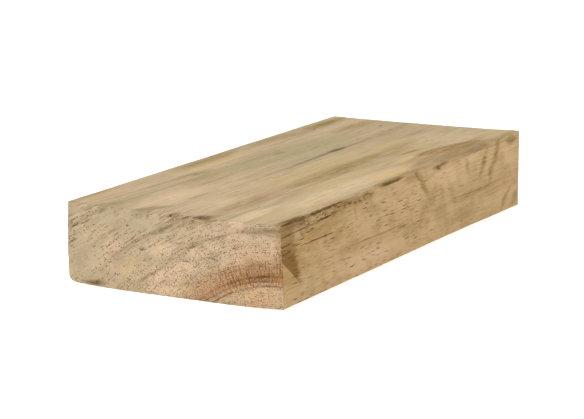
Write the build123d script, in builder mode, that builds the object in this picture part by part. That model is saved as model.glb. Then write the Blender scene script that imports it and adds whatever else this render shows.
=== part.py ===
"""A short length of rough-sawn timber plank, nominally 150 by 50 mm: one solid piece of wood.

The plank lies on its wide face with +X along the grain, away from the end that was sawn out of square.
+Y is the plank's left as seen from that near end, and Z = 0 is the floor that its underside rests on.
Drying has cupped it: the underside bellies, the top is slightly hollow, and both are flat down the middle.
"""

import math
import os

from build123d import *

# Driving dimensions, in millimetres
length = 342.0  # along the top face
width = 145.0  # across the grain
edge_thickness = 50.0  # up each long edge
belly_rise = 1.5  # how far the cup lifts the lower arrises off the floor
hollow_depth = 0.6  # how far the middle of the top face lies below its arrises
land_width = 58.0  # flat strip down the middle of both wide faces
end_undercut = 3.5  # how far the near end's cut leans in over the edge thickness

# Arrises, the long corners where two sawn faces meet
worn_radius = 4.0  # the lower left arris, rounded by handling
sawn_radius = 0.4  # the lower right and upper left arrises, as they left the saw

# Torn stretches of the upper right arris. Each has a place along the length, counted from the near end,
# the run that it covers, how far it reaches across the top face and how far it drops down the edge.
near_tear_place_share = 0.10
near_tear_run = 104.0
near_tear_reach = 1.6
near_tear_drop = 1.8
chip_place_share = 0.42
chip_run = 46.0
chip_reach = 2.6
chip_drop = 1.2
wane_place_share = 0.75
wane_run = 132.0
wane_reach = 13.0
wane_drop = 1.6

# Places that follow from those sizes
near_x = -length / 2
top_z = belly_rise + edge_thickness
hollow_z = top_z - hollow_depth
left_y = width / 2
right_y = -width / 2
half_land = land_width / 2


def tear_depth(reach, drop):
    """How far the torn face lies below the arris, measured square to that face."""
    return reach * drop / math.hypot(reach, drop)


def tear_plane(place_share, reach, drop):
    """The plane of a tear's arc: X runs along the arris, and Y points out of the wood, square to the torn face."""
    along = Vector(1, 0, 0)
    outward = Vector(0, -drop, reach)
    middle = Vector(near_x + place_share * length, right_y, top_z)
    return Plane(origin=middle, x_dir=along, z_dir=along.cross(outward))


tears = [
    (near_tear_place_share, near_tear_run, near_tear_reach, near_tear_drop),
    (chip_place_share, chip_run, chip_reach, chip_drop),
    (wane_place_share, wane_run, wane_reach, wane_drop),
]

with BuildPart() as plank:
    # The cupped section, drawn across the grain and run along it
    with BuildSketch(Plane.YZ.offset(near_x)) as section:
        with BuildLine():
            under = Line((-half_land, 0), (half_land, 0))
            over = Line((-half_land, hollow_z), (half_land, hollow_z))
            under_left = TangentArc(under @ 1, (left_y, belly_rise), tangent=under % 1)
            under_right = TangentArc(under @ 0, (right_y, belly_rise), tangent=-(under % 0))
            over_left = TangentArc(over @ 1, (left_y, top_z), tangent=over % 1)
            over_right = TangentArc(over @ 0, (right_y, top_z), tangent=-(over % 0))
            Line(under_left @ 1, over_left @ 1)
            Line(under_right @ 1, over_right @ 1)
        make_face()
        corners = section.vertices().group_by(Axis.X)
        lower_left, upper_left = corners[-1].sort_by(Axis.Y)
        lower_right = corners[0].sort_by(Axis.Y)[0]
        fillet(lower_left, worn_radius)
        fillet([lower_right, upper_left], sawn_radius)
    extrude(amount=length)

    # The near end, cut by a saw that leaned: its top edge overhangs its bottom edge
    near_cut = Plane(
        origin=(near_x, 0, top_z),
        x_dir=(0, 1, 0),
        z_dir=(edge_thickness, 0, end_undercut),
    )
    split(bisect_by=near_cut, keep=Keep.TOP)

    # The tears: each is a broad shallow arc along the arris, cut across it at the slope of the torn face
    for place_share, run, reach, drop in tears:
        depth = tear_depth(reach, drop)
        arc_radius = ((run / 2) ** 2 + depth**2) / (2 * depth)
        with BuildSketch(tear_plane(place_share, reach, drop)):
            with Locations((0, arc_radius - depth)):
                Circle(arc_radius)
        extrude(amount=width, both=True, mode=Mode.SUBTRACT)

plank.part.label = "plank"

os.makedirs("parts", exist_ok=True)
export_step(plank.part, "parts/plank.step")
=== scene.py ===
# %% [markdown]
# A short plank of rough-sawn timber. The real one is a single piece of wood, so the model is a single
# mesh. Everything on it comes from two stories: how the tree grew, which the grain shows on all six
# faces at once, and what the saw, the drying and the handling did afterwards. The lesson follows that
# order.
#
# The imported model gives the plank's frame: +X runs along the grain, away from the end that faces us, +Y
# is that end's left, and the floor is at Z = 0. All Blender lengths are metres, so sizes in millimetres
# get a factor.

# %% Load the frame
import math

import bmesh
import bpy
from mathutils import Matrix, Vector, noise


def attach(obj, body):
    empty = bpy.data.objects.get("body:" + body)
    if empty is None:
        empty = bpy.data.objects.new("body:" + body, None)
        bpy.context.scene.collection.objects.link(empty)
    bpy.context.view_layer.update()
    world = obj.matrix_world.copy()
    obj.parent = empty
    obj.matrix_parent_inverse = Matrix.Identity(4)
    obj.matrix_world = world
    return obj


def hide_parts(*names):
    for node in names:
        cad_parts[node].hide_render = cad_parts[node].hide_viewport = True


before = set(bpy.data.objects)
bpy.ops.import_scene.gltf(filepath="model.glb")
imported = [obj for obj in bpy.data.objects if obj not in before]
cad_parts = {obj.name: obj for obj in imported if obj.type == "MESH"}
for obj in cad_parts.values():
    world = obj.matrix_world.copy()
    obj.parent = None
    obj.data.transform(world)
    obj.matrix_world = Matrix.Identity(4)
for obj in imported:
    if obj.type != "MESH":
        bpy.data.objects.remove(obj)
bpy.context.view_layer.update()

MM = 0.001

# %% [markdown]
# The photograph looks down a long lens on the near end and the right edge. A camera fitted to the
# plank's seven visible corners stands 1.5 m away and looks down by 12 degrees, and its lens is about
# three times a normal one, so the far end is hardly smaller than the near one. It could be placed by
# eye, but fitted corners leave only the surface to compare later.

# %% Camera
CAMERA_PLACE = Vector((-1.3010, -0.6937, 0.3350))
CAMERA_LOOK = Vector((0.859353, 0.467232, -0.207860))
SENSOR_WIDTH = 36.0
LENS = 143.8

camera_data = bpy.data.cameras.new("camera")
camera_data.sensor_fit = "HORIZONTAL"
camera_data.sensor_width = SENSOR_WIDTH
camera_data.lens = LENS
camera = bpy.data.objects.new("camera", camera_data)
camera.location = CAMERA_PLACE
camera.rotation_euler = CAMERA_LOOK.to_track_quat("-Z", "Y").to_euler()
bpy.context.collection.objects.link(camera)
bpy.context.scene.camera = camera
print("camera stands", round(CAMERA_PLACE.length, 2), "m from the plank")

# %% [markdown]
# A product picture on white is taken on a pale table that is lit from below as well, so that the ground
# goes white and the shadow nearly goes with it. Here the floor is pale and glows.

# %% Floor
FLOOR_SIZE = 40.0
FLOOR_COLOUR = (0.72, 0.72, 0.72, 1.0)
FLOOR_GLOW = 0.72
FLOOR_ROUGHNESS = 0.9
WHITE = (1.0, 1.0, 1.0, 1.0)

floor_shape = bmesh.new()
bmesh.ops.create_grid(floor_shape, x_segments=1, y_segments=1, size=FLOOR_SIZE / 2)
floor_mesh = bpy.data.meshes.new("floor")
floor_shape.to_mesh(floor_mesh)
floor_shape.free()
floor = bpy.data.objects.new("floor", floor_mesh)
bpy.context.collection.objects.link(floor)
floor_paint = bpy.data.materials.new("pale_floor")
floor_paint.use_nodes = True
floor_surface = floor_paint.node_tree.nodes["Principled BSDF"]
floor_surface.inputs["Base Color"].default_value = FLOOR_COLOUR
floor_surface.inputs["Roughness"].default_value = FLOOR_ROUGHNESS
floor_surface.inputs["Emission Color"].default_value = WHITE
floor_surface.inputs["Emission Strength"].default_value = FLOOR_GLOW
floor_mesh.materials.append(floor_paint)
print("floor", FLOOR_SIZE, "m wide")

# %% [markdown]
# The sky gives an even light, and one wide panel at the left front makes the top and the near end
# brighter than the right edge. The standard view transform shows colours as they are mixed here.

# %% Sky and panel
SKY_STRENGTH = 0.55
PANEL_PLACE = Vector((-1.3, 1.2, 2.1))
PANEL_SIZE = 2.4
PANEL_POWER = 54.0

bpy.context.scene.view_settings.view_transform = "Standard"

world = bpy.data.worlds.new("soft_sky")
bpy.context.scene.world = world
world.use_nodes = True
background = world.node_tree.nodes["Background"]
background.inputs["Color"].default_value = WHITE
background.inputs["Strength"].default_value = SKY_STRENGTH

panel_light = bpy.data.lights.new("panel", "AREA")
panel_light.size = PANEL_SIZE
panel_light.energy = PANEL_POWER
panel = bpy.data.objects.new("panel", panel_light)
panel.location = PANEL_PLACE
panel.rotation_euler = (-PANEL_PLACE).to_track_quat("-Z", "Y").to_euler()
bpy.context.collection.objects.link(panel)
print("panel", PANEL_SIZE, "m wide")

# %% [markdown]
# The plank starts as a cube, the way the sawn blank started as a square-edged board. It could be built
# from separate faces, but one cube that is cut into strips in each direction stays closed, and its
# corners are shared. The strips are then drawn together towards the arrises, as the sharp corners
# between two faces are called, because that is where the small damage is.

# %% A square blank, cut into strips
LENGTH = 342.0
WIDTH = 145.0
STRIPS = {"x": 236, "y": 104, "z": 36}
CROWDING = {"x": 0.30, "y": 0.36, "z": 0.36}
ALMOST_ZERO = 1e-6

blank = bmesh.new()
bmesh.ops.create_cube(blank, size=2.0)
for axis, direction in enumerate("xyz"):
    runs = {edge: edge.verts[0].co - edge.verts[1].co for edge in blank.edges}
    along = [edge for edge, run in runs.items() if abs(run[axis]) > ALMOST_ZERO]
    bmesh.ops.subdivide_edges(blank, edges=along, cuts=STRIPS[direction] - 1, use_grid_fill=True)


def crowd(share, amount):
    """Move a place between -1 and 1 outwards, so that evenly spaced places crowd towards both ends."""
    return share * (1.0 + amount) - amount * share**3


for vert in blank.verts:
    vert.co = [crowd(vert.co[axis], CROWDING[direction]) for axis, direction in enumerate("xyz")]
print("blank has", len(blank.faces), "faces")

# %% [markdown]
# Drying cups a board. The side that was nearer the outside of the log shrinks more, so here the top has
# gone a little hollow and the underside bellies, and the plank lies on a flat strip down its middle.
# Both curves are arcs that start at the edge of that strip. The sizes are those of the CAD solid.

# %% The cupped section
EDGE_THICKNESS = 50.0
BELLY_RISE = 1.5
HOLLOW_DEPTH = 0.6
LAND_WIDTH = 58.0
TOP_Z = BELLY_RISE + EDGE_THICKNESS


def cup(y, rise):
    """How far a cupped face has left its flat middle strip at y, where it ends at rise."""
    outside = max(0.0, abs(y) - LAND_WIDTH / 2)
    reach = (WIDTH - LAND_WIDTH) / 2
    radius = (reach**2 + rise**2) / (2 * rise)
    return radius - math.sqrt(radius**2 - outside**2)


for vert in blank.verts:
    x = vert.co.x * LENGTH / 2
    y = vert.co.y * WIDTH / 2
    bottom = cup(y, BELLY_RISE)
    top = TOP_Z - HOLLOW_DEPTH + cup(y, HOLLOW_DEPTH)
    height_share = (vert.co.z + 1.0) / 2
    vert.co = Vector((x, y, bottom + (top - bottom) * height_share))
print("edges", EDGE_THICKNESS, "mm thick, middle", round(TOP_Z - HOLLOW_DEPTH, 1), "mm")

# %% [markdown]
# Four drying checks run along the right edge, close to the near end. They are less than a millimetre
# wide, finer than the strips, so each gets three cuts of its own round the plank, on planes that rise
# as the check does. Then the middle cut is pushed in, and that makes a V-shaped groove.

CHECKS = [
    dict(height=43.8, start=-175.0, stop=-92.0, depth=1.1, slope=0.03),
    dict(height=35.0, start=-147.0, stop=-102.0, depth=0.9, slope=-0.005),
    dict(height=38.0, start=-175.0, stop=-158.0, depth=0.8, slope=0.05),
    dict(height=33.6, start=-175.0, stop=-159.0, depth=0.9, slope=0.05),
]
CHECK_WIDTH = 0.7

for check in CHECKS:
    for share in (-0.5, 0.0, 0.5):
        everything = blank.verts[:] + blank.edges[:] + blank.faces[:]
        place = (check["start"], 0, check["height"] + share * CHECK_WIDTH)
        bmesh.ops.bisect_plane(blank, geom=everything, plane_co=place, plane_no=(-check["slope"], 0, 1))
print("after the cuts", len(blank.faces), "faces")

# %% [markdown]
# A check opens and closes along its length and runs out at its far end, so how far it is open is a
# smooth noise that is held between 0 and 1 and thinned over the last fifth. The same share is kept per
# vertex, so that the material can paint shade into the groove.

# %% Checks in the right edge
ON_FACE = 0.01
OPEN_MIDDLE = 0.8
OPEN_VARY = 0.7
OPEN_SPACING = 9.0
THINNING = 5.0
SEED_SLOPE = 0.37


def wander(x, spacing, seed):
    """A smooth random value between -1 and 1 along the length."""
    return noise.noise(Vector((x / spacing, seed, SEED_SLOPE * seed)))


in_check = blank.verts.layers.float.new("in_check")
for vert in blank.verts:
    for check in CHECKS:
        line_z = check["height"] + check["slope"] * (vert.co.x - check["start"])
        on_edge = vert.co.y < -WIDTH / 2 + ON_FACE and abs(vert.co.z - line_z) < ON_FACE
        along = (vert.co.x - check["start"]) / (check["stop"] - check["start"])
        if on_edge and 0 < along < 1:
            opening = OPEN_MIDDLE + OPEN_VARY * wander(vert.co.x, OPEN_SPACING, check["height"])
            vert[in_check] = min(1.0, max(0.0, opening)) * min(1.0, THINNING * (1 - along))
            vert.co.y += check["depth"] * vert[in_check]
print(len(CHECKS), "checks pushed in")

# %% [markdown]
# The long arrises tell how the plank was treated. The lower left one is rounded by handling, and the
# others are as sharp as a saw leaves them, with small bites out of them. A bevel would make them even,
# so the square corner of the section is drawn in to a quarter disc whose radius wanders along the
# length.

# %% Rounded and nibbled arrises
WORN_RADIUS = 4.0
SAWN_RADIUS = 0.4
NIBBLE = 0.7
NIBBLE_SPACING = 7.0
NIBBLE_SEED = 3.1


def ease(point, side, end, radius):
    """Draw the square corner at (side, end) of the section in to a quarter disc of this radius."""
    arris_y = side * WIDTH / 2
    arris_z = TOP_Z if end > 0 else BELLY_RISE
    centre_y = arris_y - side * radius
    centre_z = arris_z - end * radius
    off_y = (point.y - centre_y) * side
    off_z = (point.z - centre_z) * end
    if off_y <= 0 or off_z <= 0:
        return
    drawn_in = max(off_y, off_z) / math.hypot(off_y, off_z)
    point.y = centre_y + side * off_y * drawn_in
    point.z = centre_z + end * off_z * drawn_in


for vert in blank.verts:
    for seed, (side, end) in enumerate([(1, 1), (1, -1), (-1, 1), (-1, -1)]):
        bite = max(0.0, wander(vert.co.x, NIBBLE_SPACING, NIBBLE_SEED + seed))
        nibbled = SAWN_RADIUS + NIBBLE * bite
        ease(vert.co, side, end, WORN_RADIUS if (side, end) == (1, -1) else nibbled)
print("lower left arris rounded to", WORN_RADIUS, "mm")

# %% [markdown]
# The upper right arris is torn in three places: a ragged lip that starts at the near corner, a chip
# where a sliver broke out, and a long shallow wane. The near end's upper edge has lost two splinters as
# well. Each tear is a flat slope across the arris whose depth follows an arc along it. A boolean would
# cut it cleanly, but torn wood isn't clean, so the points above the slope are laid onto it and
# roughened on the way. How dark each tear gets, from dirt and from painted shade in the recess under
# the lip and the splinters, goes into a value per vertex, so that the material later darkens exactly
# the torn faces.

# %% Torn arrises
ALONG_GRAIN = 0
ACROSS_GRAIN = 1
TEARS = [
    dict(axis=ALONG_GRAIN, middle=-136.8, run=104.0, reach=1.6, drop=1.8, rough=0.45, dirt_and_shade=0.7),
    dict(axis=ALONG_GRAIN, middle=-27.4, run=46.0, reach=2.6, drop=1.2, rough=0.3, dirt_and_shade=0.5),
    dict(axis=ALONG_GRAIN, middle=85.5, run=132.0, reach=13.0, drop=1.6, rough=0.2, dirt_and_shade=0.0),
    dict(axis=ACROSS_GRAIN, middle=-20.0, run=19.0, reach=2.6, drop=1.3, rough=0.35, dirt_and_shade=0.6),
    dict(axis=ACROSS_GRAIN, middle=0.0, run=9.0, reach=1.6, drop=0.9, rough=0.3, dirt_and_shade=0.7),
]
EDGE_PLACE = {ALONG_GRAIN: -WIDTH / 2, ACROSS_GRAIN: -LENGTH / 2}
COARSE_SPACING = 5.0
FINE_SPACING = 1.7
FINE_SEED = 2.0
FINE_SHARE = 0.6
FULL_DIRT_AND_SHADE = 0.25
DIRT_AND_SHADE_MIDDLE = 0.85
DIRT_AND_SHADE_VARY = 0.6
DIRT_AND_SHADE_SPACING = 3.5
DIRT_AND_SHADE_SEED = 8.3
SHORTEST_EDGE = 0.01


def lay_on_tear(point, axis, middle, run, reach, drop, rough):
    """Lay a point near an upper arris onto the slope of one tear, and return how far it went down."""
    along = (point[axis] - middle) / (run / 2)
    if abs(along) >= 1:
        return 0.0
    slope = math.hypot(reach, drop)
    coarse = wander(point[axis], COARSE_SPACING, middle)
    fine = wander(point[axis], FINE_SPACING, middle + FINE_SEED)
    ragged = rough * (coarse + FINE_SHARE * fine)
    depth = (reach * drop / slope + ragged) * (1 - along**2)
    inward = point[1 - axis] - EDGE_PLACE[axis]
    above = max(0.0, (reach * (point.z - TOP_Z) - drop * inward) / slope + depth)
    point[1 - axis] += above * drop / slope
    point.z -= above * reach / slope
    return above


torn = blank.verts.layers.float.new("torn")
for vert in blank.verts:
    for tear in TEARS:
        shape = {name: value for name, value in tear.items() if name != "dirt_and_shade"}
        moved = lay_on_tear(vert.co, **shape)
        uneven = DIRT_AND_SHADE_MIDDLE + DIRT_AND_SHADE_VARY * wander(vert.co.x, DIRT_AND_SHADE_SPACING, DIRT_AND_SHADE_SEED)
        vert[torn] = max(vert[torn], tear["dirt_and_shade"] * uneven * min(1.0, moved / FULL_DIRT_AND_SHADE))
bmesh.ops.dissolve_degenerate(blank, dist=SHORTEST_EDGE, edges=blank.edges[:])
print(len(TEARS), "tears")

# %% [markdown]
# The plank isn't quite straight or square. Its upper right arris is bowed up by about a millimetre, the
# far corner there is a little thicker than the near one, and the left edge leans out towards the floor.
# A bend modifier would turn the whole plank, so each vertex is moved by a share that grows towards its
# own edge and is nothing at the other. The drop of the far corner has to stay within the belly's rise,
# so its share grows late. So does the lean's, and only the wood beside the left edge moves.

# %% A slight bow and a leaning left edge
BOW = 1.1
FAR_RISE = 1.6
FAR_DROP = 1.3
LEFT_LEAN = 2.5
LATE = 6

for vert in blank.verts:
    across = vert.co.y / (WIDTH / 2)
    along = vert.co.x / (LENGTH / 2)
    to_right = max(0.0, -across)
    to_left = max(0.0, across)
    to_far = max(0.0, along) ** 2
    height_share = vert.co.z / TOP_Z
    bow = BOW * to_right**2 * (1 - along**2)
    rise = FAR_RISE * to_far * (1 - across) / 2
    vert.co.z += height_share * (bow + rise)
    vert.co.z -= to_right**LATE * FAR_DROP * (1 - height_share) * to_far
    vert.co.y += to_left**LATE * LEFT_LEAN * (1 - height_share**2)
print("upper right arris bowed by", BOW, "mm, left edge leaning by", LEFT_LEAN, "mm")

# %% [markdown]
# The saw and the weather leave the fibres standing in low ridges along the grain. They are real height,
# a quarter of a millimetre at most, so every vertex goes in along its own normal by a noise that is
# stretched along the plank. Going only inwards keeps the underside from sinking into the floor.

# %% Raised grain
GRAIN_DEPTH = 0.25
GRAIN_SIZE = Vector((38.0, 3.2, 3.2))
RIDGE_GAIN = 1.6

blank.normal_update()
sunk = {}
for vert in blank.verts:
    ridge = noise.noise(Vector([value / size for value, size in zip(vert.co, GRAIN_SIZE)]))
    ridge = max(-1.0, min(1.0, RIDGE_GAIN * ridge))
    sunk[vert] = vert.normal * GRAIN_DEPTH * (0.5 + 0.5 * ridge)
for vert, depth in sunk.items():
    vert.co -= depth
print("grain up to", GRAIN_DEPTH, "mm deep")

# %% [markdown]
# The near end was cut by a saw that leaned, so its lower edge is set back from its upper edge. Pushing
# only the end's vertices would stretch one row of faces, so the push fades out along the first few
# centimetres.

# %% Near end out of square
END_UNDERCUT = 3.5
FADE_LENGTH = 40.0

for vert in blank.verts:
    fading = 1 - min(1.0, (vert.co.x + LENGTH / 2) / FADE_LENGTH)
    vert.co.x += fading * END_UNDERCUT * (TOP_Z - vert.co.z) / EDGE_THICKNESS
print("near end leans in by", END_UNDERCUT, "mm")

# %% [markdown]
# The finished mesh takes its place in metres. It is shaded smooth, since the rows of vertices beside
# each arris are close enough to keep it crisp. Two more values per vertex are kept for the material.
# One is how much of the surface there is end grain, which shows the rings more strongly than the long
# faces do. The other is how slanted it is: only arrises and tears are, and they are where hands and
# dirt have been.

# %% The plank as an object
END_FROM = 0.25
END_FULL = 0.75
SLANT_FROM = 0.97
SLANT_FULL = 0.77


def grow(value, start, full):
    """Go from 0 to 1 while the value goes from start to full."""
    return min(1.0, max(0.0, (value - start) / (full - start)))


for vert in blank.verts:
    vert.co *= MM
blank.normal_update()
end_grain = blank.verts.layers.float.new("end_grain")
slanted = blank.verts.layers.float.new("slanted")
for vert in blank.verts:
    vert[end_grain] = grow(abs(vert.normal.x), END_FROM, END_FULL)
    squarest = max(abs(value) for value in vert.normal)
    vert[slanted] = grow(squarest, SLANT_FROM, SLANT_FULL)
for face in blank.faces:
    face.smooth = True
plank_mesh = bpy.data.meshes.new("sawn_plank")
blank.to_mesh(plank_mesh)
blank.free()
plank = bpy.data.objects.new("sawn_plank", plank_mesh)
bpy.context.collection.objects.link(plank)
print("plank has", len(plank_mesh.polygons), "faces")

# %% [markdown]
# Wood is a solid: a ring that shows as an arc on the end is the same ring that shows as a streak on the
# top. So the material doesn't wrap a picture round the plank. It asks each point of the surface where
# in the log it is, and paints from that. The helpers below only save typing: one adds a node and plugs
# in its inputs, the others are short names for the sums and blends that are used most.

# %% Helpers for building the material
wood = bpy.data.materials.new("sawn_wood")
wood.use_nodes = True
tree = wood.node_tree
surface = tree.nodes["Principled BSDF"]


def add(kind, inputs, **settings):
    """Add a shader node, set it up, and give each input a link or a plain value."""
    made = tree.nodes.new("ShaderNode" + kind)
    for name, value in settings.items():
        setattr(made, name, value)
    for place, value in inputs.items():
        if isinstance(value, bpy.types.NodeSocket):
            tree.links.new(value, made.inputs[place])
        else:
            made.inputs[place].default_value = value
    return made


def calc(operation, first, second=0.0, third=0.0):
    """One sum with up to three values."""
    return add("Math", {0: first, 1: second, 2: third}, operation=operation).outputs[0]


def fade(value, start, stop, low=0.0, high=1.0, curve="SMOOTHSTEP"):
    """Go from low to high while the value goes from start to stop."""
    inputs = {"Value": value, "From Min": start, "From Max": stop, "To Min": low, "To Max": high}
    return add("MapRange", inputs, interpolation_type=curve).outputs["Result"]


def blend(share, under, over):
    """Lay one colour over another by a share."""
    return add("Mix", {0: share, 6: under, 7: over}, data_type="RGBA").outputs[2]


print("material started with", len(tree.nodes), "nodes")

# %% [markdown]
# Textures get their sizes in millimetres. A frame is moved, turned and stretched in the plank, and what
# is read from inside it comes out in that place, direction and size: noise in a frame that is long
# along the grain gives streaks.


# %% Helpers for coordinates and textures
def place_in(vector, location=(0, 0, 0), rotation=(0, 0, 0), scale=(1, 1, 1)):
    """Read coordinates from inside a frame that is moved, turned and sized in the plank."""
    inputs = {"Vector": vector, "Location": location, "Rotation": rotation, "Scale": scale}
    return add("Mapping", inputs, vector_type="TEXTURE").outputs["Vector"]


def cloud(vector, detail=2.0, roughness=0.5):
    """Soft random patches about one unit wide, as a value round 0.5 and as a colour."""
    return add("TexNoise", {"Vector": vector, "Scale": 1.0, "Detail": detail, "Roughness": roughness})


def shake(vector, patch, amounts):
    """Move coordinates about by a soft noise, so that what is drawn with them has no straight edge."""
    colours = cloud(place_in(vector, scale=patch), detail=3.0).outputs["Color"]
    about_zero = add("VectorMath", {0: colours, 1: (0.5, 0.5, 0.5)}, operation="SUBTRACT").outputs[0]
    inputs = {0: about_zero, 1: amounts, 2: vector}
    return add("VectorMath", inputs, operation="MULTIPLY_ADD").outputs[0]


def paint(red, green, blue):
    """A colour in screen values, 0 to 255, turned into the linear light that shaders use."""
    shares = [value / 255 for value in (red, green, blue)]
    return [((share + 0.055) / 1.055) ** 2.4 for share in shares] + [1.0]


object_place = add("TexCoord", {}).outputs["Object"]
spot = add("VectorMath", {0: object_place, 3: 1 / MM}, operation="SCALE").outputs[0]
spot_x, spot_y, spot_z = add("SeparateXYZ", {0: spot}).outputs
end_share = add("Attribute", {}, attribute_name="end_grain").outputs["Fac"]
print("coordinates in mm,", len(tree.nodes), "nodes")

# %% [markdown]
# The arcs on the near end are parts of circles, and their common centre, the pith of the tree, lies
# below and to the right of the plank. The distance from the pith says which year's wood a point is in.
# The log wasn't a perfect cylinder, so the distance is warped a little by a slow noise, the axis is
# tilted by a degree, and towards the left the rings flatten out.

# %% Distance from the pith
PITH = (-171.0, -72.0, -69.0)
PITH_TILT = (0.0, -0.006, -0.017)
FLAT_FROM = -10.0
FLATTENING = 0.003
ARC_RADIUS = 100.0
WARP_PATCH = (190, 34, 34)
WARP = (1.0, 1.0, 1.0)

grown = shake(spot, WARP_PATCH, WARP)
_, log_y, log_z = add("SeparateXYZ", {0: place_in(grown, location=PITH, rotation=PITH_TILT)}).outputs
squares = calc("MULTIPLY_ADD", log_y, log_y, calc("POWER", log_z, 2.0))
leftward = calc("MAXIMUM", calc("SUBTRACT", spot_y, FLAT_FROM), 0.0)
ring_age = calc("MULTIPLY_ADD", calc("POWER", leftward, 2.0), -FLATTENING, calc("SQRT", squares))
around = calc("MULTIPLY", calc("ARCTAN2", log_z, log_y), ARC_RADIUS)
in_rings = add("CombineXYZ", {"X": ring_age, "Y": around, "Z": spot_x}).outputs[0]
print("pith at", PITH, "mm")

# %% [markdown]
# The ground colour drifts between a greyish tan, a pale tan and a pinker tan, in patches that are long
# along the grain and short across it. Over that lie the fibres, long thin streaks that turn into a fine
# speckle where they are cut across on the ends, and short flecks where the saw lifted them. The right
# edge is the warmest face and the smoothest.

# %% Ground colour and fibres
DRIFT_SIZE = (200, 24, 24)
SECOND_DRIFT_SIZE = (110, 13, 13)
SECOND_DRIFT_START = (90, 40, 15)
FIBRE_SIZE = (20, 0.9, 0.9)
FLECK_SIZE = (8, 1.5, 1.5)
GREYISH_TAN = paint(193, 173, 138)
PALE_TAN = paint(208, 183, 148)
PINKER_TAN = paint(210, 177, 143)
WARM_TAN = paint(206, 171, 121)

second_spot = place_in(spot, location=SECOND_DRIFT_START, scale=SECOND_DRIFT_SIZE)
drift = cloud(place_in(spot, scale=DRIFT_SIZE), detail=3.0, roughness=0.55).outputs["Fac"]
second_drift = cloud(second_spot, detail=3.0).outputs["Fac"]
fibres = cloud(place_in(spot, scale=FIBRE_SIZE), detail=4.0, roughness=0.7).outputs["Fac"]
flecks = cloud(place_in(spot, scale=FLECK_SIZE), detail=2.0, roughness=0.6).outputs["Fac"]
right_edge = fade(spot_y, -70.8, -72.2)

colour = blend(fade(drift, 0.38, 0.62), GREYISH_TAN, PALE_TAN)
colour = blend(fade(second_drift, 0.48, 0.7, 0.0, 0.5), colour, PINKER_TAN)
colour = blend(calc("MULTIPLY", right_edge, 0.8), colour, WARM_TAN)
smoother = fade(right_edge, 0.0, 1.0, 1.0, 0.5)
fibre_share = calc("MULTIPLY", fade(fibres, 0.32, 0.56, 0.3, 0.0), smoother)
pale_share = calc("MULTIPLY", fade(flecks, 0.56, 0.76, 0.0, 0.5), smoother)
dull_share = calc("MULTIPLY", fade(flecks, 0.42, 0.24, 0.0, 0.45), smoother)
colour = blend(fibre_share, colour, paint(140, 117, 80))
colour = blend(pale_share, colour, paint(222, 198, 160))
colour = blend(dull_share, colour, paint(150, 125, 86))
print("ground colour laid")

# %% [markdown]
# Between one ring line and the next lie soft broken bands that follow the rings round, some broad and
# some thin. On the long faces they are weaker than on the ends, and on the ends the thin ones are
# fainter in the lower half.

# %% Soft bands round the rings
BROAD_BAND = (4.0, 22.0, 130.0)
THIN_BAND = (0.8, 6.0, 60.0)
BAND_BROWN = paint(164, 144, 108)
LINE_GREY = paint(134, 112, 78)


def along_rings(thickness, width, length):
    """Soft streaks of this size: out from the pith, round the ring and along the grain."""
    streak = place_in(in_rings, scale=(thickness, width, length))
    return cloud(streak, detail=3.0, roughness=0.6).outputs["Fac"]


def on_ends(share, elsewhere):
    """The share as it is on the ends, and a part of it on the long faces."""
    return calc("MULTIPLY", share, fade(end_share, 0.0, 1.0, elsewhere, 1.0))


broad_bands = along_rings(*BROAD_BAND)
thin_bands = along_rings(*THIN_BAND)
fainter = fade(spot_z, 32.0, 16.0, 1.0, 0.4)
colour = blend(on_ends(fade(broad_bands, 0.45, 0.7, 0.0, 0.45), 0.7), colour, BAND_BROWN)
dark_lines = calc("MULTIPLY", fade(thin_bands, 0.52, 0.66, 0.0, 0.95), fainter)
colour = blend(on_ends(dark_lines, 0.32), colour, LINE_GREY)
pale_lines = fade(thin_bands, 0.46, 0.3, 0.0, 0.3)
colour = blend(on_ends(pale_lines, 0.3), colour, paint(222, 200, 168))
print("bands", BROAD_BAND[0], "and", THIN_BAND[0], "mm thick")

# %% [markdown]
# Close to the pith there is a rust brown zone with several dark ring lines, which shows as a dark arc at
# the near end's lower right, and faint rays cross it. Farther out the rings are fainter, greyer and
# wider apart. A colour ramp holds how dark the wood is at each distance from the pith. A wave texture
# would space the rings evenly, and years aren't even.

# %% Heart, rays and rings
RING_START = 80.0
RING_STOP = 180.0
HEART_RINGS = [
    (80.5, 0.0), (83.1, 0.1), (83.6, 0.95), (84.1, 0.95), (84.7, 0.1), (86.1, 0.2), (86.9, 0.85),
    (87.6, 0.45), (88.6, 0.45), (89.4, 1.0), (90.0, 0.75), (90.8, 0.35), (91.6, 0.5), (92.6, 0.25),
    (96.0, 0.3), (99.0, 0.15), (104.0, 0.0),
]
OUTER_RINGS = [
    (101.0, 0.0), (102.0, 0.2), (103.0, 0.0), (114.0, 0.0), (116.3, 0.15), (117.2, 0.6),
    (118.2, 0.15), (121.0, 0.0), (126.5, 0.0), (127.5, 0.15), (129.0, 0.0), (133.5, 0.0),
    (136.0, 0.15), (136.8, 0.55), (138.0, 0.1), (140.0, 0.0), (146.2, 0.0), (147.3, 0.35),
    (148.4, 0.0), (157.8, 0.0), (158.5, 0.5), (159.2, 0.0), (161.4, 0.0), (162.0, 0.4),
    (162.8, 0.0), (168.4, 0.0), (169.0, 0.35), (169.8, 0.0),
]
RAY = (8.0, 1.1, 9.0)
RING_BREAK = (2.0, 7.0, 90.0)
END_GREY = paint(146, 129, 112)
RUST = paint(184, 138, 94)
RAY_BROWN = paint(136, 96, 62)
HEART_BROWN = paint(98, 60, 30)
RING_BROWN = paint(100, 82, 54)


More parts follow.
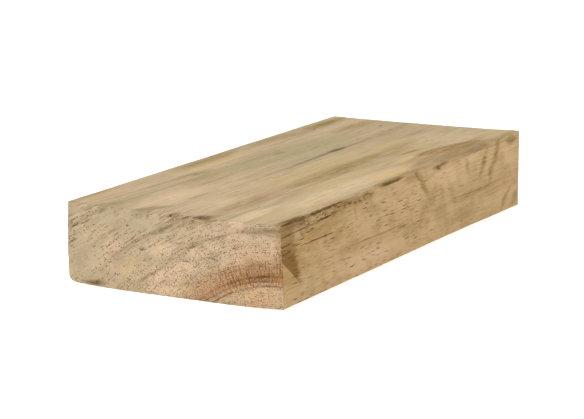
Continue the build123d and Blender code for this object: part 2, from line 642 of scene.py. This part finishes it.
def ring_ramp(stops):
    """How dark the rings are at each distance from the pith."""
    reach = fade(ring_age, RING_START, RING_STOP, curve="LINEAR")
    ramp = add("ValToRGB", {"Fac": reach})
    elements = ramp.color_ramp.elements
    while len(elements) < len(stops):
        elements.new(0.5)
    for element, (distance, dark) in zip(elements, stops):
        element.position = (distance - RING_START) / (RING_STOP - RING_START)
        element.color = (dark, dark, dark, 1.0)
    return ramp.outputs["Color"]


rays = along_rings(*RAY)
near_heart = fade(spot_y, -6.0, -42.0, 0.35, 1.0)
heart_zone = calc("MULTIPLY", fade(ring_age, 83.0, 87.0), fade(ring_age, 106.0, 90.0))
heart_zone = calc("MULTIPLY", heart_zone, near_heart)
colour = blend(calc("MULTIPLY", end_share, 0.3), colour, END_GREY)
colour = blend(on_ends(calc("MULTIPLY", heart_zone, 0.75), 0.15), colour, RUST)
ray_share = calc("MULTIPLY", fade(rays, 0.52, 0.62, 0.0, 0.9), fade(heart_zone, 0.0, 0.8, 0.15, 1.0))
colour = blend(on_ends(ray_share, 0.0), colour, RAY_BROWN)

broken = fade(along_rings(*RING_BREAK), 0.36, 0.58, 0.2, 1.0)
heart = calc("MULTIPLY", ring_ramp(HEART_RINGS), fade(broken, 0.2, 1.0, 0.7, 1.0))
heart = calc("MULTIPLY", heart, fade(spot_y, -40.0, -56.0, 0.75, 1.0))
outer = calc("MULTIPLY", calc("MULTIPLY", ring_ramp(OUTER_RINGS), broken), fainter)
colour = blend(on_ends(heart, 0.15), colour, HEART_BROWN)
colour = blend(on_ends(outer, 0.3), colour, RING_BROWN)
print(len(HEART_RINGS), "heart stops and", len(OUTER_RINGS), "outer stops")

# %% [markdown]
# Next is what happened to this plank and to no other: damp stains, sap streaks, grime in the torn
# arris, and painted shade under the torn lip and splinters. Each mark is an ellipse on one face, given
# from where to where it runs, half its width and its strength. They could be painted on an image, but
# an ellipsoid in the solid needs no image and fades into the wood with depth. The coordinates that place
# them are shaken first, so that the outlines are ragged along the grain.

# %% A mark on one face
MARK_DEPTH = 10.0
SOFT_EDGE = 0.8
MOTTLE_SIZE = (16, 2.6, 2.6)
SLOW_PATCH = (40, 7, 7)
SLOW_SHAKE = (14, 4, 2.4)
FINE_PATCH = (6, 1.6, 1.6)
FINE_SHAKE = (3, 1.4, 1.2)

slow_spot = shake(spot, SLOW_PATCH, SLOW_SHAKE)
mark_spot = shake(slow_spot, FINE_PATCH, FINE_SHAKE)
mottle = cloud(place_in(spot, scale=MOTTLE_SIZE), detail=3.0, roughness=0.6).outputs["Fac"]
patchy = fade(mottle, 0.3, 0.62, 0.45, 1.0)


def mark(face, start, stop, half_width, strength, edge=SOFT_EDGE):
    """The share of one mark, stain and painted shade alike: one ellipse on a face, in that face's own two
    coordinates.
    """
    across, along = stop[1] - start[1], stop[0] - start[0]
    half_run = math.hypot(across, along) / 2 + half_width
    turn = math.atan2(across, along)
    first, second = (start[0] + stop[0]) / 2, (start[1] + stop[1]) / 2
    if face == "end":
        lean = END_UNDERCUT * (TOP_Z - second) / EDGE_THICKNESS
        frame_at = (lean - LENGTH / 2, first, second), (turn, 0, 0), (MARK_DEPTH, half_run, half_width)
    elif face == "top":
        frame_at = (first, second, TOP_Z), (0, 0, turn), (half_run, half_width, MARK_DEPTH)
    else:
        frame_at = (first, -WIDTH / 2, second), (0, -turn, 0), (half_run, MARK_DEPTH, half_width)
    ball = add("TexGradient", {"Vector": place_in(mark_spot, *frame_at)}, gradient_type="SPHERICAL")
    return fade(ball.outputs["Fac"], 0.0, edge, 0.0, strength)


def stain_and_shade(under, over, marks, within=1.0):
    """Lay one colour over the wood wherever one of these marks is, and within another share; most are
    stains, a few are painted shade.
    """
    share = mark(*marks[0])
    for one in marks[1:]:
        share = calc("MAXIMUM", share, mark(*one))
    return blend(calc("MULTIPLY", calc("MULTIPLY", share, patchy), within), under, over)


print("marks reach", MARK_DEPTH, "mm into the wood")

# %% [markdown]
# On the top a grey green damp stain covers the left middle, with a thin dark streak beside it, and a
# yellower band and an olive streak lie to its right. The right side is paler near us, and brown where
# the wane begins.

# %% Stains on the top
STRAW = paint(224, 198, 158)
YELLOW_TAN = paint(206, 179, 124)
BUTTER = paint(224, 190, 134)
DAMP_GREEN = paint(174, 160, 120)
OLIVE = paint(150, 125, 70)
WANE_BROWN = paint(158, 124, 72)
STREAK_BROWN = paint(104, 88, 50)

colour = stain_and_shade(colour, STRAW, [
    ("top", (-170, -54), (30, -54), 17, 0.9),
    ("top", (-165, 28), (-90, 24), 18, 0.6),
    ("top", (100, -38), (170, -42), 18, 0.4),
    ("top", (-150, -6), (-110, -8), 10, 0.6),
    ("top", (-176, -44), (-120, -42), 9, 1.0),
])
colour = stain_and_shade(colour, YELLOW_TAN, [
    ("top", (-120, -9), (110, -8), 16, 0.55),
    ("top", (-170, -52), (-110, -58), 8, 0.5),
    ("top", (-110, -38), (50, -40), 9, 0.6),
    ("top", (-60, 58), (30, 58), 9, 0.55),
    ("top", (40, -12), (120, -16), 14, 0.6),
    ("top", (40, -34), (115, -34), 12, 0.6),
    ("top", (136, -58), (174, -60), 9, 0.6),
])
colour = stain_and_shade(colour, BUTTER, [
    ("top", (-40, -59), (36, -60), 10, 0.8),
    ("top", (24, -47), (66, -45), 7, 0.7),
    ("top", (-120, -61), (-84, -60), 8, 0.5),
    ("top", (-176, -69), (-100, -69), 6, 0.5),
])
colour = stain_and_shade(colour, DAMP_GREEN, [
    ("top", (-90, 33), (170, 29), 18, 0.9),
    ("top", (-178, 42), (-125, 44), 9, 0.65),
    ("top", (70, 2), (170, 2), 13, 0.6),
    ("top", (-68, 15), (-32, 15), 7, 0.7),
    ("top", (138, -24), (170, -24), 8, 0.7),
])
colour = stain_and_shade(colour, OLIVE, [
    ("top", (-80, -23), (70, -25), 13, 0.85),
    ("top", (0, -22), (70, -23), 9, 0.6),
    ("top", (-86, -22), (-18, -23), 7, 0.85),
    ("top", (30, -30), (112, -19), 12, 0.5),
    ("top", (-176, -23), (-60, -23), 10, 0.6),
    ("top", (-66, 66), (30, 66), 8, 0.75),
    ("top", (20, 66), (110, 66), 7, 0.35),
    ("top", (105, 64), (172, 63), 7, 0.9),
    ("top", (110, 43), (168, 38), 9, 0.6),
    ("top", (50, -35), (90, -38), 4, 0.7),
    ("top", (-120, -36), (-60, -34), 4, 0.4),
    ("top", (-100, 42), (-40, 40), 6, 0.4),
    ("top", (-84, 50), (-38, 50), 6, 0.6),
    ("top", (-176, 70), (-120, 70), 4, 0.4),
    ("top", (-176, -20), (-156, -28), 6, 0.6),
])
colour = stain_and_shade(colour, WANE_BROWN, [
    ("top", (62, -48), (126, -63), 8, 0.9, 0.25),
    ("top", (36, -62), (128, -68), 14, 0.65, 0.35),
    ("top", (14, -66), (60, -55), 8, 0.65),
    ("top", (28, -54), (64, -52), 6, 0.5),
    ("top", (-44, -70), (48, -70), 4.5, 0.85),
    ("top", (-52, -71), (-6, -70.5), 3.5, 0.9, 0.3),
    ("top", (-178, -70), (-150, -69), 5, 0.6),
    ("top", (120, -69), (174, -71.5), 2.5, 0.6),
], within=calc("SUBTRACT", 1.0, right_edge))
colour = stain_and_shade(colour, STREAK_BROWN, [
    ("top", (-75, 9), (170, 9), 3, 0.5),
    ("top", (40, 10), (78, 9.5), 4, 0.95),
    ("top", (-176, 17), (-150, 16), 2.5, 0.65),
    ("top", (-174, 26), (-152, 14), 6, 0.6),
    ("top", (-176, 52), (-156, 44), 6, 0.3),
    ("top", (-135, 14), (-100, 12), 1.8, 0.45),
    ("top", (114, 59), (120, 61), 1.6, 0.7),
    ("top", (145, 23), (153, 25), 1.8, 0.65),
    ("top", (118, 27), (126, 28), 1.6, 0.4),
    ("top", (-64, 49), (-57, 49), 1.5, 0.5),
    ("top", (20, 38), (36, 38), 3, 0.3),
    ("top", (50, 27), (62, 27), 2, 0.35),
])
print("top stained")

# %% [markdown]
# The near end is greyer at its left, pinker at its upper right and orange round the heart rings. A few
# resin spots and stretches of ring are darker, dirt has gathered at the lower left, and painted shade
# lies under the torn splinters on the upper edge.

# %% Stains and painted shade on the near end
DAMP_GREY = paint(180, 166, 134)
PINK_TAN = paint(206, 176, 146)
DULL_ORANGE = paint(196, 156, 116)
PALE_PINK = paint(222, 190, 156)
ORANGE_TAN = paint(210, 168, 128)
DARK_GREY = paint(160, 144, 114)
DULL_YELLOW = paint(200, 176, 128)
RING_SHADE = paint(122, 102, 68)
RESIN_AND_SPLINTER_SHADE = paint(84, 66, 36)

colour = stain_and_shade(colour, DAMP_GREY, [
    ("end", (66, 8), (58, 26), 15, 0.7),
    ("end", (60, 46), (-5, 40), 9, 0.6),
])
colour = stain_and_shade(colour, PINK_TAN, [
    ("end", (-20, 42), (-72, 40), 8, 0.6),
    ("end", (48, 34), (36, 24), 6, 0.45),
    ("end", (-5, 16), (10, 6), 9, 0.45),
    ("end", (-38, 34), (-70, 32), 6, 0.5),
])
colour = stain_and_shade(colour, DULL_ORANGE, [
    ("end", (-6, 4), (-32, 12), 10, 0.45),
    ("end", (-34, 3), (-76, 8), 11, 0.35),
    ("end", (-30, 30), (-74, 36), 9, 0.35),
])
colour = stain_and_shade(colour, PALE_PINK, [
    ("end", (18, 10), (4, 16), 7, 0.55),
    ("end", (4, 13), (-6, 18), 7, 0.5),
    ("end", (-6, 19), (-14, 21), 6, 0.65),
    ("end", (16, 27), (4, 30), 7, 0.65),
    ("end", (-10, 29), (-20, 29), 6, 0.5),
    ("end", (-22, 34), (-32, 35), 5, 0.55),
    ("end", (-64, 39), (-76, 38), 7, 0.75),
    ("end", (-34, 27), (-44, 27), 7, 0.4),
    ("end", (-36, 49), (-48, 50), 4, 0.5),
    ("end", (24, 3), (-14, 5), 5, 0.5),
])
colour = stain_and_shade(colour, ORANGE_TAN, [
    ("end", (-36, 6), (-80, 9), 10, 0.55),
    ("end", (-68, 17), (-76, 17), 4, 0.4),
])
colour = stain_and_shade(colour, DARK_GREY, [
    ("end", (70, 8), (62, 24), 9, 0.75),
    ("end", (70, 3), (44, 11), 7, 0.55),
    ("end", (72, 46), (68, 50), 6, 0.5),
    ("end", (42, 39), (28, 44), 6, 0.5),
    ("end", (30, 47.5), (18, 50), 5, 1.0),
    ("end", (44, 14), (30, 26), 6, 0.5),
])
colour = stain_and_shade(colour, DULL_YELLOW, [
    ("end", (36, 10), (24, 20), 8, 0.4),
    ("end", (-2, 8), (-8, 5), 8, 0.35),
])
colour = stain_and_shade(colour, RING_SHADE, [
    ("end", (-10, 49.5), (24, 33), 2.0, 0.8),
    ("end", (0, 43), (-20, 50), 4.5, 0.5),
    ("end", (2, 46), (-8, 49), 3, 0.55),
    # painted shade under the torn splinter on the upper edge
    ("end", (-16, 49), (-28, 50.5), 3.5, 0.6),
    ("end", (4, 20), (32, 3), 1.6, 0.6),
    ("end", (-9, 31), (-16, 34), 1.5, 0.85),
    ("end", (-20, 37), (-40, 43), 1.3, 0.7),
    ("end", (-44, 44.5), (-76, 48.5), 1.9, 0.75),
    ("end", (52, 46), (44, 50), 1.4, 0.7),
])
colour = stain_and_shade(colour, RESIN_AND_SPLINTER_SHADE, [
    ("end", (66, 1.6), (48, 3.6), 2.6, 0.8),
    # The next three marks are painted shade under the torn splinters on the upper edge.
    ("end", (-12, 49.6), (-24, 50.6), 1.6, 0.8),
    ("end", (-5, 48.8), (-13, 50.6), 1.2, 0.8),
    ("end", (4, 48.4), (-3, 51), 1.2, 1.0),
    ("end", (74, 38), (66, 42), 0.9, 0.85),
    ("end", (74, 33.5), (65, 38.5), 1.0, 0.9),
    ("end", (66, 38), (56, 42), 1.0, 0.9),
    ("end", (74, 25.5), (67, 29.5), 1.0, 0.85),
    ("end", (23, 27.4), (20.5, 27.8), 1.7, 1.0),
    ("end", (31.7, 40.6), (31.3, 41.2), 1.0, 0.85),
    ("end", (8.4, 25.3), (7.6, 25.7), 1.0, 0.7),
    ("end", (-5, 23.2), (-11, 23), 0.9, 0.7),
    ("end", (-23, 27), (-31, 25.6), 0.9, 0.5),
])
print("near end stained")

# %% [markdown]
# The right edge is warmer than the other faces. Grime follows the torn arris, browner towards the near
# end and broken into specks just below the tear. Thin dark lines of painted shade run just under the
# arris, below the torn lip and the wane. The slanting bands farther back are where the saw burned a
# little.

# %% Stains and painted shade on the right edge
PINK_EDGE = paint(218, 183, 143)
BURN = paint(146, 116, 66)
GOLDEN_BROWN = paint(158, 120, 60)
CORNER_OLIVE = paint(128, 104, 50)
DARK_LINES_AND_ARRIS_SHADE = paint(90, 60, 24)
GRIME = paint(98, 70, 30)
SPECK_SIZE = (4.5, 1.3, 1.3)

colour = stain_and_shade(colour, PINK_EDGE, [
    ("edge", (-125, 9), (0, 10), 10, 0.9),
    ("edge", (-134, 36), (-124, 38), 5, 0.5),
    ("edge", (35, 42), (82, 40), 10, 0.75),
    ("edge", (64, 48), (112, 48), 5, 0.6),
    ("edge", (140, 40), (168, 36), 9, 0.5),
])
colour = stain_and_shade(colour, BURN, [
    ("edge", (138, 54), (118, 22), 6, 1.0),
    ("edge", (119, 54), (105, 30), 5.5, 0.85),
    ("edge", (5, 54), (28, 30), 4.5, 0.75),
    ("edge", (78, 50), (92, 34), 3.5, 0.5),
    ("edge", (-126, 44), (-112, 29), 1.8, 0.65),
    ("edge", (-148, 47), (-143, 38), 1.5, 0.65),
    ("edge", (-109, 45), (-104, 34), 1.5, 0.6),
    ("edge", (-98, 49), (-94, 40), 1.5, 0.6),
    ("edge", (-83, 48), (-74, 36), 1.8, 0.55),
    ("edge", (-60, 48), (-50, 34), 2.5, 0.45),
    ("edge", (-178, 49), (-124, 50), 4.5, 0.75),
    ("edge", (-140, 48.5), (-58, 50.5), 3.5, 0.6),
    ("edge", (136, 0), (160, 18), 4, 0.65),
    ("edge", (40, 12), (112, 12), 7, 0.4),
    ("edge", (20, 22), (152, 24), 3.5, 0.45),
    ("edge", (-178, 42), (-160, 40), 10, 0.5),
    ("edge", (-150, 44), (-80, 43), 11, 0.55),
    ("edge", (-90, 48), (-50, 49.5), 5, 0.8),
    ("edge", (-80, 42), (-34, 38), 6, 0.45),
    ("edge", (-114, 29), (-92, 36), 8, 0.5),
    ("edge", (16, 24), (36, 35), 8, 0.5),
    ("edge", (-16, 49), (6, 49), 4, 0.55),
    ("edge", (30, 49), (50, 49.5), 3, 0.5),
])
colour = stain_and_shade(colour, GOLDEN_BROWN, [
    ("edge", (-176, 36), (-104, 38), 14, 0.55),
    ("edge", (-114, 48.5), (-82, 49.5), 4, 0.7),
    ("edge", (-168, 22), (-130, 26), 9, 0.4),
    ("edge", (-174, 22), (-150, 13), 8, 0.55),
])
colour = stain_and_shade(colour, CORNER_OLIVE, [
    ("edge", (146, 50), (166, 48), 4, 0.9),
    ("edge", (158, 2), (172, 12), 5, 0.55),
])
colour = stain_and_shade(colour, DARK_LINES_AND_ARRIS_SHADE, [
    ("edge", (-126, 22.5), (18, 22.5), 0.8, 0.55),
    ("edge", (-24, 20.5), (-4, 20.7), 0.8, 0.9),
    ("edge", (62, 24.5), (150, 24), 0.8, 0.5),
    # The lines from here on lie just under the upper right arris: painted shade below the torn lip and
    # the wane.
    ("edge", (-178, 50.6), (-126, 51), 1.4, 0.9),
    ("edge", (-50, 51), (-12, 51.4), 1.2, 0.95),
    ("edge", (3, 52), (10, 46), 2.4, 0.7),
    ("edge", (36, 50), (44, 48), 2.0, 0.95),
    ("edge", (24, 50.2), (68, 50.4), 1.6, 0.8),
    ("edge", (66, 50.4), (126, 51), 1.4, 0.5),
    ("edge", (-178, 47), (-140, 48), 6, 0.3),
])
specks = cloud(place_in(spot, scale=SPECK_SIZE)).outputs["Fac"]
colour = stain_and_shade(colour, GRIME, [
    ("edge", (-170, 48), (-70, 49.5), 5.5, 1.0),
    ("edge", (-96, 48.5), (-50, 50), 4, 1.0),
    ("edge", (-172, 36), (-158, 30), 9, 0.8),
], within=fade(specks, 0.46, 0.6))
print("right edge stained")

# %% [markdown]
# The saw crossed the right edge at a slant and left faint darker and paler strokes all over it. Close to
# the near end there is also a dark patch with one straight slanting border, where something shielded the
# wood from the light. No ellipse has such a border, so the patch is what lies above one slanting line
# and on the near side of another, and only the second line is made ragged.

# %% Saw strokes and the shielded patch
STROKE_TURN = (0, -0.7, 0)
STROKE_SIZE = (10, 60, 20)
STROKE_STRENGTH = 0.26
BORDER_SLOPE = 0.76
BACK_SLOPE = 0.25
BACK_RAGGED = 12.0

strokes = cloud(place_in(mark_spot, rotation=STROKE_TURN, scale=STROKE_SIZE)).outputs["Fac"]
dark_strokes = calc("MULTIPLY", fade(strokes, 0.5, 0.72, 0.0, STROKE_STRENGTH), right_edge)
pale_strokes = calc("MULTIPLY", fade(strokes, 0.48, 0.3, 0.0, STROKE_STRENGTH), right_edge)
colour = blend(dark_strokes, colour, paint(150, 121, 70))
colour = blend(pale_strokes, colour, paint(214, 180, 138))
border = calc("MULTIPLY_ADD", spot_x, BORDER_SLOPE, spot_z)
ragged_x = calc("MULTIPLY_ADD", mottle, BACK_RAGGED, spot_x)
back = calc("MULTIPLY_ADD", spot_z, BACK_SLOPE, ragged_x)
shielded = calc("MULTIPLY", fade(border, -100.2, -98.6), fade(back, -136.0, -142.0))
shielded = calc("MULTIPLY", shielded, right_edge)
shielded = calc("MULTIPLY", shielded, fade(spot_z, 29.0, 38.0, 0.78, 0.4))
colour = blend(shielded, colour, paint(122, 84, 30))
print("strokes turned by", STROKE_TURN[1], "radians")

# %% [markdown]
# Pores are fine tubes along the grain, and since no stain hides a hole, they come after the stains. Cut
# across they are dots, and cut along they are dashes, so one set of long thin cells in three dimensions
# gives both. The cells follow the rings, and so the dots stand in rows. Each cell has a random value of
# its own, which decides whether its pore is there, and the pores are crowded into some rows, into the
# heart and, on the right edge, into clusters. The saw lifted a pale lip beside the coarse ones. The top
# is rubbed, and its pores hardly show, and on the long faces they get fainter towards the far end.

# %% Pores
COARSE_CELL = (1.5, 1.4, 20.0)
FINE_CELL = (1.1, 0.75, 10.0)
COARSE_PORE = 0.21
FINE_PORE = 0.4
PORE_ROW = (1.7, 16.0, 45.0)
CLUSTER_SIZE = (42, 12, 9)
LIP = (0.8, 0.0, 2.0)


def pores(vector, cell, size, crowding, dark, disorder=1.0):
    """Dark tubes in stretched cells: dots on the ends, dashes elsewhere. Disorder breaks up rows."""
    inputs = {"Vector": place_in(vector, scale=cell), "Scale": 1.0, "Randomness": disorder}
    cells = add("TexVoronoi", inputs)
    chance = add("SeparateColor", {0: cells.outputs["Color"]}).outputs[0]
    there = fade(calc("ADD", chance, crowding), 0.92, 1.1, 0.0, dark)
    return calc("MULTIPLY", there, fade(cells.outputs["Distance"], size, size * 0.5))


rows = fade(along_rings(*PORE_ROW), 0.47, 0.6, 0.0, 0.65)
rows = calc("MULTIPLY", rows, fade(spot_y, 30.0, -20.0, 0.8, 1.0))
crowded = calc("MULTIPLY_ADD", fade(ring_age, 130.0, 106.0), 0.38, rows)
clusters = cloud(place_in(spot, scale=CLUSTER_SIZE)).outputs["Fac"]
crowded = calc("MULTIPLY_ADD", right_edge, fade(clusters, 0.44, 0.6, -0.3, 0.1), crowded)
coarse_pores = pores(in_rings, COARSE_CELL, COARSE_PORE, crowded, 0.95)
fine_pores = on_ends(pores(in_rings, FINE_CELL, FINE_PORE, crowded, 0.85, disorder=0.7), 0.45)
rubbed = fade(spot_z, 49.0, 50.3, 1.0, 0.2)
rubbed = calc("MAXIMUM", calc("MULTIPLY", rubbed, fade(spot_x, -60.0, 90.0, 1.0, 0.5)), end_share)
pore = calc("MULTIPLY", calc("MAXIMUM", coarse_pores, fine_pores), rubbed)
beside = add("VectorMath", {0: in_rings, 1: LIP}, operation="ADD").outputs[0]
lips = calc("MULTIPLY", pores(beside, COARSE_CELL, COARSE_PORE, crowded, 0.4), rubbed)
colour = blend(lips, colour, paint(222, 192, 148))
colour = blend(pore, colour, paint(102, 64, 28))
print("pores in cells of", COARSE_CELL, "and", FINE_CELL, "mm")

# %% [markdown]
# The checks get painted shade, the tears dirt and painted shade, and the arrises dirt. All three are
# read from the values that were kept per vertex, so the darkening is exactly where the shape is, and a
# check that was pushed in deeper gets darker painted shade too.

# %% Painted shade in the checks, dirt and painted shade in the tears, dirt along the arrises
check_share = add("Attribute", {}, attribute_name="in_check").outputs["Fac"]
torn_share = add("Attribute", {}, attribute_name="torn").outputs["Fac"]
slant_share = add("Attribute", {}, attribute_name="slanted").outputs["Fac"]
arris_dirt = calc("MULTIPLY", slant_share, fade(mottle, 0.38, 0.66, 0.0, 0.6))
# Dirt on the torn faces, and painted shade in the recess under the torn lip and the splinters.
tear_dirt_and_shade = calc("MULTIPLY", torn_share, fade(mottle, 0.3, 0.55, 0.55, 1.0))
colour = blend(arris_dirt, colour, paint(126, 98, 52))
colour = blend(tear_dirt_and_shade, colour, paint(92, 64, 22))
# Painted shade in the checks, darker where a check is pushed in deeper.
colour = blend(fade(check_share, 0.15, 0.75), colour, paint(84, 52, 12))
print("dirt laid")

# %% [markdown]
# Sawn wood isn't shiny, but it isn't even either: the fibres stand up a little, and the pores are pits.
# The fibres that colour it therefore also drive its roughness, and fibres and pores together make a fine
# bump, in real millimetres.

# %% Roughness and bump
FIBRE_HEIGHT = 0.25
PORE_PIT = 0.35
SHEEN = 0.06

relief = calc("MULTIPLY", fibres, FIBRE_HEIGHT)
relief = calc("MULTIPLY_ADD", pore, -PORE_PIT, relief)
bumps = add("Bump", {"Strength": 1.0, "Distance": MM, "Height": relief})
tree.links.new(bumps.outputs["Normal"], surface.inputs["Normal"])
tree.links.new(fade(fibres, 0.3, 0.7, 0.92, 0.72), surface.inputs["Roughness"])
tree.links.new(colour, surface.inputs["Base Color"])
surface.inputs["Specular IOR Level"].default_value = SHEEN
plank_mesh.materials.append(wood)
print("material has", len(tree.nodes), "nodes")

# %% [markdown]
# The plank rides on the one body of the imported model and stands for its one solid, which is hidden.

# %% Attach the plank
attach(plank, "root")
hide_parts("plank")
